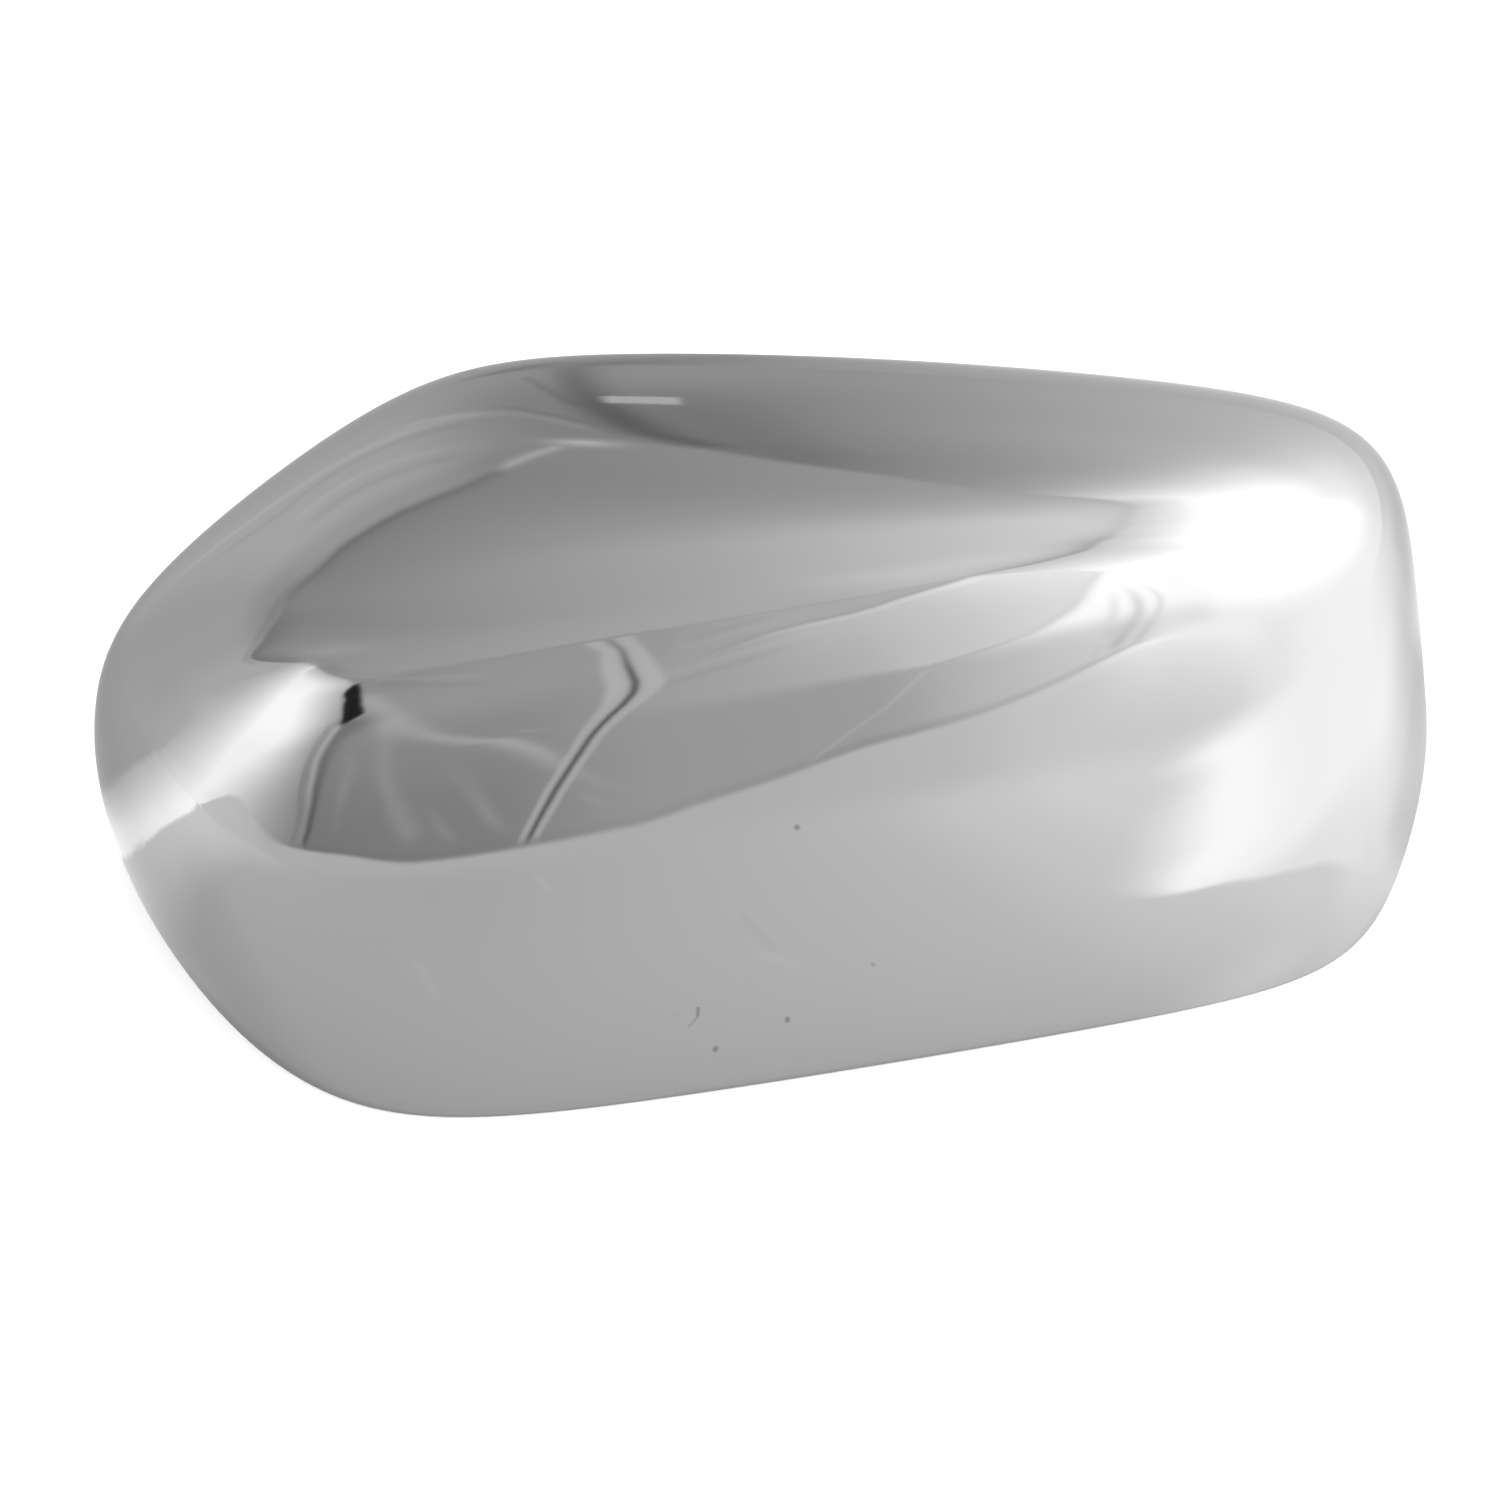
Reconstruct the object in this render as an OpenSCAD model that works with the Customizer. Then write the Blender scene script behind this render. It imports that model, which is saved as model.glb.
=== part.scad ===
// Wing mirror cover: the one-piece plated shell that closes the front of a
// door mirror's housing. It lies on its rim with the dome up. X runs along
// the mirror from its tapered end to its broad end, the leaning front face looks to -Y,
// and z = 0 is the plane of the rim.
//
// The skin is a smooth blend of gently crowned faces. Each face is given by
// the compass direction that it looks in, how far it leans back from upright,
// how far it lies from the core point, and its crown radii sideways and up.

/* [Shell] */
// Wall thickness of the moulding
wall = 2.5; // [2:0.1:3.2]
// Sharpness of the corners between the side faces
side_sharp = 13.5; // [10.5:0.5:15]
// Sharpness of the shoulder between the sides and the top
shoulder_sharp = 13.5; // [10.5:0.5:15]
// Sharpness of the blend between the two top faces
top_sharp = 8.5; // [6:0.5:10]

/* [Front face] */
// Direction that it looks in, degrees from +X
front_dir = -91; // [-95:0.5:-87]
// Lean back from upright, degrees
front_lean = 27.5; // [23.5:0.5:31.5]
// Distance from the core point
front_dist = 58; // [54:0.5:62]
// Crown radius sideways
front_rh = 2650; // [2000:50:3700]
// Crown radius upwards
front_rv = 3000; // [2250:50:4200]

/* [Broad end] */
// Direction that it looks in, degrees from +X
end_dir = 18.5; // [14.5:0.5:22.5]
// Lean back from upright, degrees
end_lean = 13.5; // [9.5:0.5:17.5]
// Distance from the core point
end_dist = 124.5; // [120.5:0.5:128.5]
// Crown radius sideways
end_rh = 260; // [195:5:365]
// Crown radius upwards
end_rv = 2900; // [2200:50:4050]

/* [Back face, towards the broad end] */
// Direction that it looks in, degrees from +X
back_b_dir = 79; // [75:0.5:83]
// Lean back from upright, degrees
back_b_lean = 18; // [14:0.5:22]
// Distance from the core point
back_b_dist = 61; // [57:0.5:65]
// Crown radius sideways
back_b_rh = 700; // [520:10:980]
// Crown radius upwards
back_b_rv = 550; // [410:10:770]

/* [Back face, towards the tapered end] */
// Direction that it looks in, degrees from +X
back_t_dir = 121; // [117:0.5:125]
// Lean back from upright, degrees
back_t_lean = 11; // [7:0.5:15]
// Distance from the core point
back_t_dist = 73; // [69:0.5:77]
// Crown radius sideways
back_t_rh = 1050; // [800:50:1450]
// Crown radius upwards
back_t_rv = 1100; // [800:50:1550]

/* [Tapered end] */
// Direction that it looks in, degrees from +X
taper_dir = 217; // [213:0.5:221]
// Lean back from upright, degrees
taper_lean = -3; // [-7:0.5:1]
// Distance from the core point
taper_dist = 101; // [97:0.5:105]
// Crown radius sideways
taper_rh = 185; // [140:5:260]
// Crown radius upwards
taper_rv = 275; // [205:5:385]

/* [Front corner at the tapered end] */
// Direction that it looks in, degrees from +X
corner_t_dir = -117; // [-121:0.5:-113]
// Lean back from upright, degrees
corner_t_lean = 6; // [2:0.5:10]
// Distance from the core point
corner_t_dist = 90; // [86:0.5:94]
// Crown radius sideways
corner_t_rh = 1000; // [750:50:1400]
// Crown radius upwards
corner_t_rv = 300; // [225:5:420]

/* [Front corner at the broad end] */
// Direction that it looks in, degrees from +X
corner_b_dir = -40.5; // [-44.5:0.5:-36.5]
// Lean back from upright, degrees
corner_b_lean = 13.5; // [9.5:0.5:17.5]
// Distance from the core point
corner_b_dist = 114; // [110:0.5:118]
// Crown radius sideways
corner_b_rh = 415; // [310:5:580]
// Crown radius upwards
corner_b_rv = 2550; // [1900:50:3550]

/* [Top] */
// Direction that it tips towards, degrees from +X
top_dir = -107.5; // [-111.5:0.5:-103.5]
// Lean back from upright, degrees
top_lean = 95; // [91:0.5:99]
// Distance from the core point
top_dist = 82.5; // [78.5:0.5:86.5]
// Crown radius sideways
top_rh = 2950; // [2200:50:4150]
// Crown radius across
top_rv = 107; // [80:1:150]

/* [Shoulder] */
// Direction that it looks in, degrees from +X
shoulder_dir = -106.5; // [-110.5:0.5:-102.5]
// Lean back from upright, degrees
shoulder_lean = 49.5; // [45.5:0.5:53.5]
// Distance from the core point
shoulder_dist = 128; // [124:0.5:132]
// Crown radius sideways
shoulder_rh = 455; // [340:5:635]
// Crown radius upwards
shoulder_rv = 410; // [310:5:575]

/* [Snap catches] */
// Width of each catch along the wall
catch_w = 14; // [10:1:18]
// Height of each catch
catch_h = 7; // [5:0.5:9]
// How far it stands in from the wall
catch_in = 2.2; // [1.5:0.1:3]
// Height of its hooking edge above the rim
catch_z = 14; // [12:0.5:18]

/* [Hidden] */

// [direction, lean, distance, sideways radius, upward radius]
sides = [
    [front_dir, front_lean, front_dist, front_rh, front_rv],
    [end_dir, end_lean, end_dist, end_rh, end_rv],
    [back_b_dir, back_b_lean, back_b_dist, back_b_rh, back_b_rv],
    [back_t_dir, back_t_lean, back_t_dist, back_t_rh, back_t_rv],
    [taper_dir, taper_lean, taper_dist, taper_rh, taper_rv],
    [corner_t_dir, corner_t_lean, corner_t_dist, corner_t_rh, corner_t_rv],
    [corner_b_dir, corner_b_lean, corner_b_dist, corner_b_rh, corner_b_rv]];
tops = [
    [top_dir, top_lean, top_dist, top_rh, top_rv],
    [shoulder_dir, shoulder_lean, shoulder_dist, shoulder_rh, shoulder_rv]];

// The grid of the skins: steps round the rim, and rings up to the crown
n_round = 96;
n_up = 24;

function aim(az, el) = [cos(az)*cos(el), sin(az)*cos(el), sin(el)];

// How many times the crowned face has to grow to pass through point p
function reach(f, p, inset) =
    let (n = aim(f[0], f[1]),
         side = [-sin(f[0]), cos(f[0]), 0],
         up = cross(n, side),
         h = f[2] - inset,
         b = n*p,
         a = (pow(side*p, 2)/(f[3] - inset) + pow(up*p, 2)/(f[4] - inset))/2)
    (b + sqrt(b*b + 4*a*h))/(2*h);

// A soft maximum: the faces melt into each other where they meet
function blend(v, k) = pow([for (x = v) pow(x, k)]*[for (x = v) 1], 1/k);

// 1 on the skin, less inside it
function level(p, inset) =
    blend([blend([for (f = sides) reach(f, p, inset)], side_sharp),
           blend([for (f = tops) reach(f, p, inset)], top_sharp)],
          shoulder_sharp);

// The skin's point in a direction from the core point
function skin(az, el, inset) =
    let (d = 100*aim(az, el)) d/level(d, inset);

// The skin's outward direction there, by small steps
function skin_out(p, inset) =
    let (e = 0.01,
         g = [level(p + [e, 0, 0], inset) - level(p - [e, 0, 0], inset),
              level(p + [0, e, 0], inset) - level(p - [0, e, 0], inset),
              level(p + [0, 0, e], inset) - level(p - [0, 0, e], inset)])
    g/norm(g);

// The rim's outline puts the middle of the cover on the Z axis
rim = [for (i = [0:n_round - 1]) skin(360*i/n_round, 0, 0)];
centre = [(min([for (p = rim) p[0]]) + max([for (p = rim) p[0]]))/2,
          (min([for (p = rim) p[1]]) + max([for (p = rim) p[1]]))/2, 0];

// One skin: rings from the rim up, then the crown's point
function skin_points(inset) = concat(
    [for (j = [0:n_up - 1]) for (i = [0:n_round - 1])
        skin(360*i/n_round, 90*j/n_up, inset)],
    [skin(0, 90, inset)]);

function skin_faces(first, outward) =
    let (top = first + n_up*n_round)
    [for (j = [0:n_up - 2]) for (i = [0:n_round - 1])
        let (a = first + j*n_round + i,
             b = first + j*n_round + (i + 1)%n_round,
             c = b + n_round, d = a + n_round)
        each outward ? [[a, c, b], [a, d, c]] : [[a, b, c], [a, c, d]],
     for (i = [0:n_round - 1])
        let (a = first + (n_up - 1)*n_round + i,
             b = first + (n_up - 1)*n_round + (i + 1)%n_round)
        outward ? [a, top, b] : [a, b, top]];

module shell() {
    m = n_up*n_round + 1;
    polyhedron(
        points = [for (p = concat(skin_points(0), skin_points(wall))) p - centre],
        faces = concat(
            skin_faces(0, true),
            skin_faces(m, false),
            // the flat edge of the rim
            [for (i = [0:n_round - 1])
                let (a = i, b = (i + 1)%n_round)
                each [[a, b, m + b], [a, m + b, m + a]]]),
        convexity = 6);
}

// Directions of the catches, seen from the core point
catch_dirs = [-125, -90, -52, 4, 48, 92, 136, 186];

// A wedge on the inside of the wall. It slopes in from the rim side and ends
// in a square edge that hooks behind the housing.
module catch(az) {
    foot = skin(az, 0, wall);
    p = skin(az, atan2(catch_z, norm(foot)), wall);
    n = skin_out(p, wall);
    root = wall*0.6;
    translate(p - centre) rotate([0, 0, atan2(n[1], n[0])])
        rotate([0, -asin(n[2]), 0]) hull() {
            translate([0, -catch_w/2, -catch_h]) cube([root, catch_w, catch_h]);
            translate([-catch_in, -catch_w/2 + 1, -1.2])
                cube([catch_in, catch_w - 2, 1.2]);
        }
}

module cover() {
    color([0.78, 0.79, 0.81]) union() {
        shell();
        for (az = catch_dirs) catch(az);
    }
}

cover();
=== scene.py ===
import math

import bmesh
import bpy
import numpy as np
from mathutils import Matrix, Vector


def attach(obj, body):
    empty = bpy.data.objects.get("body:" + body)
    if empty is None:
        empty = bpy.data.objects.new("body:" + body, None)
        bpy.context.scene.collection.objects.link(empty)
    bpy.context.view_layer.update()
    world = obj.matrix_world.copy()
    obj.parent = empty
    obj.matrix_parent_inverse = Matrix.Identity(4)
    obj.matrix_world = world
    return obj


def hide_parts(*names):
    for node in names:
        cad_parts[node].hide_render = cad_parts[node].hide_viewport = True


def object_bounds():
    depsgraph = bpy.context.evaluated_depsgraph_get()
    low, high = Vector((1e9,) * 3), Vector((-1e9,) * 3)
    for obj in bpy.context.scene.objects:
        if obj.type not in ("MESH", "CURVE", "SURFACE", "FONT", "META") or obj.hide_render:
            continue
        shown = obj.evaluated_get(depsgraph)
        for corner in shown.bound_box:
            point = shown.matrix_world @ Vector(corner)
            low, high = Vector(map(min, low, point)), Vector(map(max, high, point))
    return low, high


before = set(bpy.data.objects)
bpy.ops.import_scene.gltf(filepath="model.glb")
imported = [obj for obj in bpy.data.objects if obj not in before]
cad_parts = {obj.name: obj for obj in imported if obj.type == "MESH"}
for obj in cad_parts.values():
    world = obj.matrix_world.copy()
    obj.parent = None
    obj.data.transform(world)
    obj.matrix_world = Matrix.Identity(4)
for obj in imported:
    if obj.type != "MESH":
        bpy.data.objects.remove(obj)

CAD_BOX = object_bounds()

# ---------------------------------------------------------------------------
# The cover's skin: the same blend of crowned faces as the solid, in mm.
# Each face: direction, lean, distance, radius sideways, radius upwards.
# --- skin
WALL = 2.5
SIDES = [
    (-91.0, 27.5, 58.0, 2650.0, 3000.0),
    (18.5, 13.5, 124.5, 260.0, 2900.0),
    (79.0, 18.0, 61.0, 700.0, 550.0),
    (121.0, 11.0, 73.0, 1050.0, 1100.0),
    (217.0, -3.0, 101.0, 185.0, 275.0),
    (-117.0, 6.0, 90.0, 1000.0, 300.0),
    (-40.5, 13.5, 114.0, 415.0, 2550.0),
]
TOPS = [
    (-107.5, 95.0, 82.5, 2950.0, 107.0),
    (-106.5, 49.5, 128.0, 455.0, 410.0),
]
SIDE_SHARP, SHOULDER_SHARP, TOP_SHARP = 13.5, 13.5, 8.5


def reach(f, p, inset):
    a, e = math.radians(f[0]), math.radians(f[1])
    n = np.array([math.cos(a) * math.cos(e), math.sin(a) * math.cos(e), math.sin(e)])
    side = np.array([-math.sin(a), math.cos(a), 0.0])
    up = np.cross(n, side)
    h, b, u, v = f[2] - inset, p @ n, p @ side, p @ up
    ku, kv = 1 / (f[3] - inset), 1 / (f[4] - inset)
    root = np.sqrt(b * b + 2 * h * (ku * u * u + kv * v * v))
    g = (b + root) / (2 * h)
    turn = (ku * u)[:, None] * side + (kv * v)[:, None] * up
    return g, (n + (b[:, None] * n + 2 * h * turn) / root[:, None]) / (2 * h)


def soft_max(parts, k):
    g = np.stack([q[0] for q in parts])
    d = np.stack([q[1] for q in parts])
    m = g.max(0)
    top = m * ((g / m) ** k).sum(0) ** (1 / k)
    return top, (((g / top) ** (k - 1))[..., None] * d).sum(0)


def level(p, inset):
    sides = soft_max([reach(f, p, inset) for f in SIDES], SIDE_SHARP)
    tops = soft_max([reach(f, p, inset) for f in TOPS], TOP_SHARP)
    return soft_max([sides, tops], SHOULDER_SHARP)


def aim(az, el):
    return np.stack([np.cos(az) * np.cos(el), np.sin(az) * np.cos(el), np.sin(el)], -1)


def skin(az, el, inset):
    d = aim(az, el)
    return d / level(d, inset)[0][:, None]


_a = np.radians(np.arange(96) * 3.75)
_r = skin(_a, 0 * _a, 0.0)
CENTRE = np.array([(_r[:, 0].min() + _r[:, 0].max()) / 2, (_r[:, 1].min() + _r[:, 1].max()) / 2, 0.0])


def rim_angle(az, z, inset):
    """the elevation at which the skin is z above the rim's plane"""
    el = np.full_like(az, 0.005)
    for _ in range(8):
        el = np.arcsin(z / np.linalg.norm(skin(az, el, inset), axis=1))
    return el
# --- end of skin


# ---------------------------------------------------------------------------
# The moulding: outer skin, rounded rim and inner skin in one closed mesh
K = 72          # the skins are grids of 2K by 2K
ROUND = 0.7     # radius of the rim's two edges

# a square grid laid over the half sphere of directions, so there is no pole
gi, gj = np.meshgrid(np.arange(-K, K + 1), np.arange(-K, K + 1), indexing="ij")
gi, gj = gi.ravel().astype(float), gj.ravel().astype(float)
ring = np.maximum(abs(gi), abs(gj))
safe = np.maximum(ring, 1)
turn = np.where(abs(gi) >= abs(gj),
                np.where(gi >= 0, gj / safe, 4 - gj / safe),
                np.where(gj >= 0, 2 - gi / safe, 6 + gi / safe))
grid_az = turn * math.pi / 4
grid_n = len(gi)
idx = np.arange(grid_n).reshape(2 * K + 1, 2 * K + 1)
quads = np.stack([idx[:-1, :-1], idx[1:, :-1], idx[1:, 1:], idx[:-1, 1:]], -1).reshape(-1, 4)
edge = np.concatenate([idx[-1, K:-1], idx[:0:-1, -1], idx[0, :0:-1], idx[:-1, 0], idx[-1, :K]])


def skin_grid(inset):
    el0 = rim_angle(grid_az, ROUND, inset)
    el = el0 + (math.pi / 2 - el0) * (1 - ring / K)
    return skin(grid_az, el, inset)


outer, inner = skin_grid(0.0), skin_grid(WALL)
edge_az = grid_az[edge]
foot_out = skin(edge_az, 0 * edge_az, 0.0)
foot_in = skin(edge_az, 0 * edge_az, WALL)
inward = foot_in - foot_out
inward /= np.linalg.norm(inward, axis=1)[:, None]
STEPS = 6


def round_edge(start, corner, end):
    """points between the skin's last row and the rim's flat, the last one included"""
    out = []
    for s in range(1, STEPS + 1):
        t = s / STEPS
        out.append((1 - t) ** 2 * start + 2 * t * (1 - t) * corner + t * t * end)
    return out


bands = round_edge(outer[edge], foot_out, foot_out + inward * ROUND)
bands += round_edge(inner[edge], foot_in, foot_in - inward * ROUND)[::-1]

verts = [outer] + bands + [inner]
verts = np.concatenate(verts) - CENTRE
n_edge = len(edge)
rows = [edge] + [grid_n + k * n_edge + np.arange(n_edge) for k in range(len(bands))]
inner_first = grid_n + len(bands) * n_edge
rows.append(inner_first + edge)
faces = [quads, quads[:, ::-1] + inner_first]
mats = [np.zeros(len(quads), int), np.ones(len(quads), int)]
for k in range(len(rows) - 1):
    a, b = rows[k], rows[k + 1]
    strip = np.stack([a, b, np.roll(b, -1), np.roll(a, -1)], -1)
    faces.append(strip)
    mats.append(np.full(len(strip), 0 if k <= STEPS + 1 else 1, int))
faces = np.concatenate(faces)
mats = np.concatenate(mats)


def mesh_from(name, co, polys, mat=None):
    me = bpy.data.meshes.new(name)
    me.vertices.add(len(co))
    me.vertices.foreach_set("co", np.asarray(co, np.float32).ravel())
    me.loops.add(polys.size)
    me.loops.foreach_set("vertex_index", polys.astype(np.int32).ravel())
    me.polygons.add(len(polys))
    me.polygons.foreach_set("loop_start", np.arange(0, polys.size, polys.shape[1], dtype=np.int32))
    if mat is not None:
        me.polygons.foreach_set("material_index", np.asarray(mat, np.int32))
    me.update(calc_edges=True)
    me.validate()
    return me


def link(obj):
    bpy.context.scene.collection.objects.link(obj)
    return obj


cover = link(bpy.data.objects.new("cover_shell", mesh_from("cover_shell", verts / 1000.0, faces, mats)))

bm = bmesh.new()
bm.from_mesh(cover.data)
if bm.calc_volume(signed=True) < 0:
    bmesh.ops.reverse_faces(bm, faces=bm.faces)
bm.to_mesh(cover.data)
bm.free()

# The catches: wedges inside the wall that slope in from the rim side
CATCH_DIRS = [-125, -90, -52, 4, 48, 92, 136, 186]
CATCH_W, CATCH_H, CATCH_IN, CATCH_Z = 14.0, 7.0, 2.2, 14.0
wedges = bmesh.new()
for deg in CATCH_DIRS:
    az = np.array([math.radians(deg)])
    foot = skin(az, 0 * az, WALL)
    p = skin(az, np.array([math.atan2(CATCH_Z, np.linalg.norm(foot))]), WALL)
    n = level(p, WALL)[1][0]
    n = n / np.linalg.norm(n)
    m = (Matrix.Translation(Vector((p[0] - CENTRE) / 1000.0))
         @ Matrix.Rotation(math.atan2(n[1], n[0]), 4, "Z")
         @ Matrix.Rotation(-math.asin(n[2]), 4, "Y"))
    root, w, h = WALL * 0.6, CATCH_W / 2, CATCH_H
    pts = [(x, y, z) for x in (0, root) for y in (-w, w) for z in (-h, 0)]
    pts += [(-CATCH_IN, y, z) for y in (1 - w, w - 1) for z in (-1.2, 0)]
    one = bmesh.new()
    vs = [one.verts.new(Vector(q) / 1000.0) for q in pts]
    hull = bmesh.ops.convex_hull(one, input=vs)
    loose = [v for v in one.verts if not v.link_faces]
    bmesh.ops.delete(one, geom=loose, context="VERTS")
    bmesh.ops.dissolve_limit(one, angle_limit=0.02, verts=one.verts, edges=one.edges)
    bmesh.ops.bevel(one, geom=[e for e in one.edges], offset=0.00025, segments=2, profile=0.5, affect="EDGES")
    bmesh.ops.recalc_face_normals(one, faces=one.faces)
    one.transform(m)
    part = bpy.data.meshes.new("wedge")
    one.to_mesh(part)
    one.free()
    wedges.from_mesh(part)
    bpy.data.meshes.remove(part)
for f in wedges.faces:
    f.material_index = 1
bmesh.ops.triangulate(wedges, faces=wedges.faces)
wedge_mesh = bpy.data.meshes.new("wedges")
wedges.to_mesh(wedge_mesh)
wedges.free()
wedge_obj = link(bpy.data.objects.new("wedges", wedge_mesh))


# ---------------------------------------------------------------------------
# Materials
def tree(name):
    mat = bpy.data.materials.new(name)
    mat.use_nodes = True
    nt = mat.node_tree
    nt.nodes.clear()
    return mat, nt


def node(nt, kind, **props):
    n = nt.nodes.new(kind)
    for k, v in props.items():
        setattr(n, k, v)
    return n


# Bright mirror plating with the faintest ripple and haze, a few specks, and faint painted highlight and shade streaks
chrome, nt = tree("chrome_plating")
out = node(nt, "ShaderNodeOutputMaterial")
bsdf = node(nt, "ShaderNodeBsdfPrincipled")
bsdf.inputs["Metallic"].default_value = 1.0
nt.links.new(bsdf.outputs[0], out.inputs[0])
coord = node(nt, "ShaderNodeTexCoord")
haze = node(nt, "ShaderNodeTexNoise")
haze.inputs["Scale"].default_value = 22.0
haze.inputs["Detail"].default_value = 4.0
nt.links.new(coord.outputs["Object"], haze.inputs["Vector"])
rough = node(nt, "ShaderNodeMapRange")
rough.inputs["From Min"].default_value = 0.3
rough.inputs["From Max"].default_value = 0.75
rough.inputs["To Min"].default_value = 0.012
rough.inputs["To Max"].default_value = 0.035
nt.links.new(haze.outputs["Fac"], rough.inputs["Value"])
# specks in the plating, and faint painted highlight and shade streaks: two ends in mm, radius in mm, how much darker
# (or lighter, below 0)
MARKS = [
    ((-5.6, -41.8, 46.1), (-5.5, -41.9, 45.9), 0.75, 0.40),
    ((4.9, -55.8, 19.7), (5.0, -55.8, 19.6), 0.60, 0.26),
    ((-10.2, -59.5, 12.0), (-10.2, -59.6, 11.6), 0.72, 0.42),
    ((-22.7, -61.1, 8.6), (-22.8, -61.2, 8.2), 0.72, 0.40),
    ((-24.8, -56.9, 16.6), (-25.0, -57.5, 15.3), 0.55, 0.34),
    ((-25.1, -57.8, 14.9), (-26.7, -58.6, 13.5), 0.45, 0.22),
    ((-29.4, -57.4, 15.9), (-28.6, -57.3, 16.0), 0.40, 0.15),
    # a faint painted shade streak, then faint painted highlight streaks (lighter, below 0)
    ((-15.6, -49.4, 31.9), (-11.4, -52.8, 25.4), 1.30, 0.035),
    ((-12.9, -53.2, 24.7), (-8.1, -54.6, 21.8), 1.60, -0.03),
    ((-47.6, -42.0, 43.6), (-46.3, -43.0, 41.6), 1.30, -0.05),
    ((-68.8, -47.8, 31.0), (-66.8, -50.4, 25.0), 1.40, -0.04),
]
shade = None
for one_end, other, radius, dark in MARKS:
    p0, p1 = Vector(one_end) / 1000, Vector(other) / 1000
    axis = p1 - p0
    off = node(nt, "ShaderNodeVectorMath", operation="SUBTRACT")
    nt.links.new(coord.outputs["Object"], off.inputs[0])
    off.inputs[1].default_value = p0
    along = node(nt, "ShaderNodeVectorMath", operation="DOT_PRODUCT")
    nt.links.new(off.outputs[0], along.inputs[0])
    along.inputs[1].default_value = axis / axis.length_squared
    held = node(nt, "ShaderNodeClamp")
    nt.links.new(along.outputs["Value"], held.inputs["Value"])
    foot = node(nt, "ShaderNodeVectorMath", operation="SCALE")
    foot.inputs[0].default_value = axis
    nt.links.new(held.outputs[0], foot.inputs["Scale"])
    gap = node(nt, "ShaderNodeVectorMath", operation="DISTANCE")
    nt.links.new(off.outputs[0], gap.inputs[0])
    nt.links.new(foot.outputs[0], gap.inputs[1])
    ease = node(nt, "ShaderNodeMapRange", interpolation_type="SMOOTHSTEP")
    ease.inputs["From Min"].default_value = radius / 1000
    ease.inputs["From Max"].default_value = radius / 1000 * 0.15
    ease.inputs["To Min"].default_value = 1.0
    ease.inputs["To Max"].default_value = 1.0 - dark
    nt.links.new(gap.outputs["Value"], ease.inputs["Value"])
    if shade is None:
        shade = ease.outputs[0]
    else:
        both = node(nt, "ShaderNodeMath", operation="MULTIPLY")
        nt.links.new(shade, both.inputs[0])
        nt.links.new(ease.outputs[0], both.inputs[1])
        shade = both.outputs[0]
ripple = node(nt, "ShaderNodeTexNoise")
ripple.inputs["Scale"].default_value = 28.0
ripple.inputs["Detail"].default_value = 1.0
nt.links.new(coord.outputs["Object"], ripple.inputs["Vector"])
bump = node(nt, "ShaderNodeBump")
bump.inputs["Strength"].default_value = 0.05
bump.inputs["Distance"].default_value = 0.0006
nt.links.new(ripple.outputs["Fac"], bump.inputs["Height"])
nt.links.new(bump.outputs["Normal"], bsdf.inputs["Normal"])
nt.links.new(rough.outputs["Result"], bsdf.inputs["Roughness"])
tone = node(nt, "ShaderNodeMix", data_type="RGBA")
tone.inputs[6].default_value = (0.554, 0.553, 0.557, 1)
tone.inputs[7].default_value = (0.574, 0.572, 0.575, 1)
nt.links.new(haze.outputs["Fac"], tone.inputs[0])
marked = node(nt, "ShaderNodeVectorMath", operation="SCALE")
nt.links.new(tone.outputs[2], marked.inputs[0])
nt.links.new(shade, marked.inputs["Scale"])
nt.links.new(marked.outputs[0], bsdf.inputs["Base Color"])
bsdf.inputs["Specular Tint"].default_value = (0.80, 0.80, 0.80, 1)

# The inside took less of the plating: satin, with a fine moulding grain
satin, nt = tree("satin_plating")
out = node(nt, "ShaderNodeOutputMaterial")
bsdf = node(nt, "ShaderNodeBsdfPrincipled")
bsdf.inputs["Metallic"].default_value = 1.0
nt.links.new(bsdf.outputs[0], out.inputs[0])
coord = node(nt, "ShaderNodeTexCoord")
cloud = node(nt, "ShaderNodeTexNoise")
cloud.inputs["Scale"].default_value = 35.0
cloud.inputs["Detail"].default_value = 5.0
nt.links.new(coord.outputs["Object"], cloud.inputs["Vector"])
mix = node(nt, "ShaderNodeMix", data_type="RGBA")
mix.inputs[6].default_value = (0.40, 0.405, 0.415, 1)
mix.inputs[7].default_value = (0.52, 0.525, 0.53, 1)
nt.links.new(cloud.outputs["Fac"], mix.inputs[0])
nt.links.new(mix.outputs[2], bsdf.inputs["Base Color"])
rough = node(nt, "ShaderNodeMapRange")
rough.inputs["To Min"].default_value = 0.28
rough.inputs["To Max"].default_value = 0.46
nt.links.new(cloud.outputs["Fac"], rough.inputs["Value"])
nt.links.new(rough.outputs["Result"], bsdf.inputs["Roughness"])
grain = node(nt, "ShaderNodeTexNoise")
grain.inputs["Scale"].default_value = 900.0
nt.links.new(coord.outputs["Object"], grain.inputs["Vector"])
bump = node(nt, "ShaderNodeBump")
bump.inputs["Strength"].default_value = 0.25
bump.inputs["Distance"].default_value = 0.0001
nt.links.new(grain.outputs["Fac"], bump.inputs["Height"])
nt.links.new(bump.outputs["Normal"], bsdf.inputs["Normal"])

for o in (cover, wedge_obj):
    o.data.materials.append(chrome)
    o.data.materials.append(satin)

# join the catches to the wall
mod = cover.modifiers.new("catches", "BOOLEAN")
mod.operation = "UNION"
mod.solver = "EXACT"
mod.object = wedge_obj
deps = bpy.context.evaluated_depsgraph_get()
joined = bpy.data.meshes.new_from_object(cover.evaluated_get(deps))
cover.modifiers.clear()
cover.data = joined
cover.data.name = "cover_shell"
bpy.data.objects.remove(wedge_obj)

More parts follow.
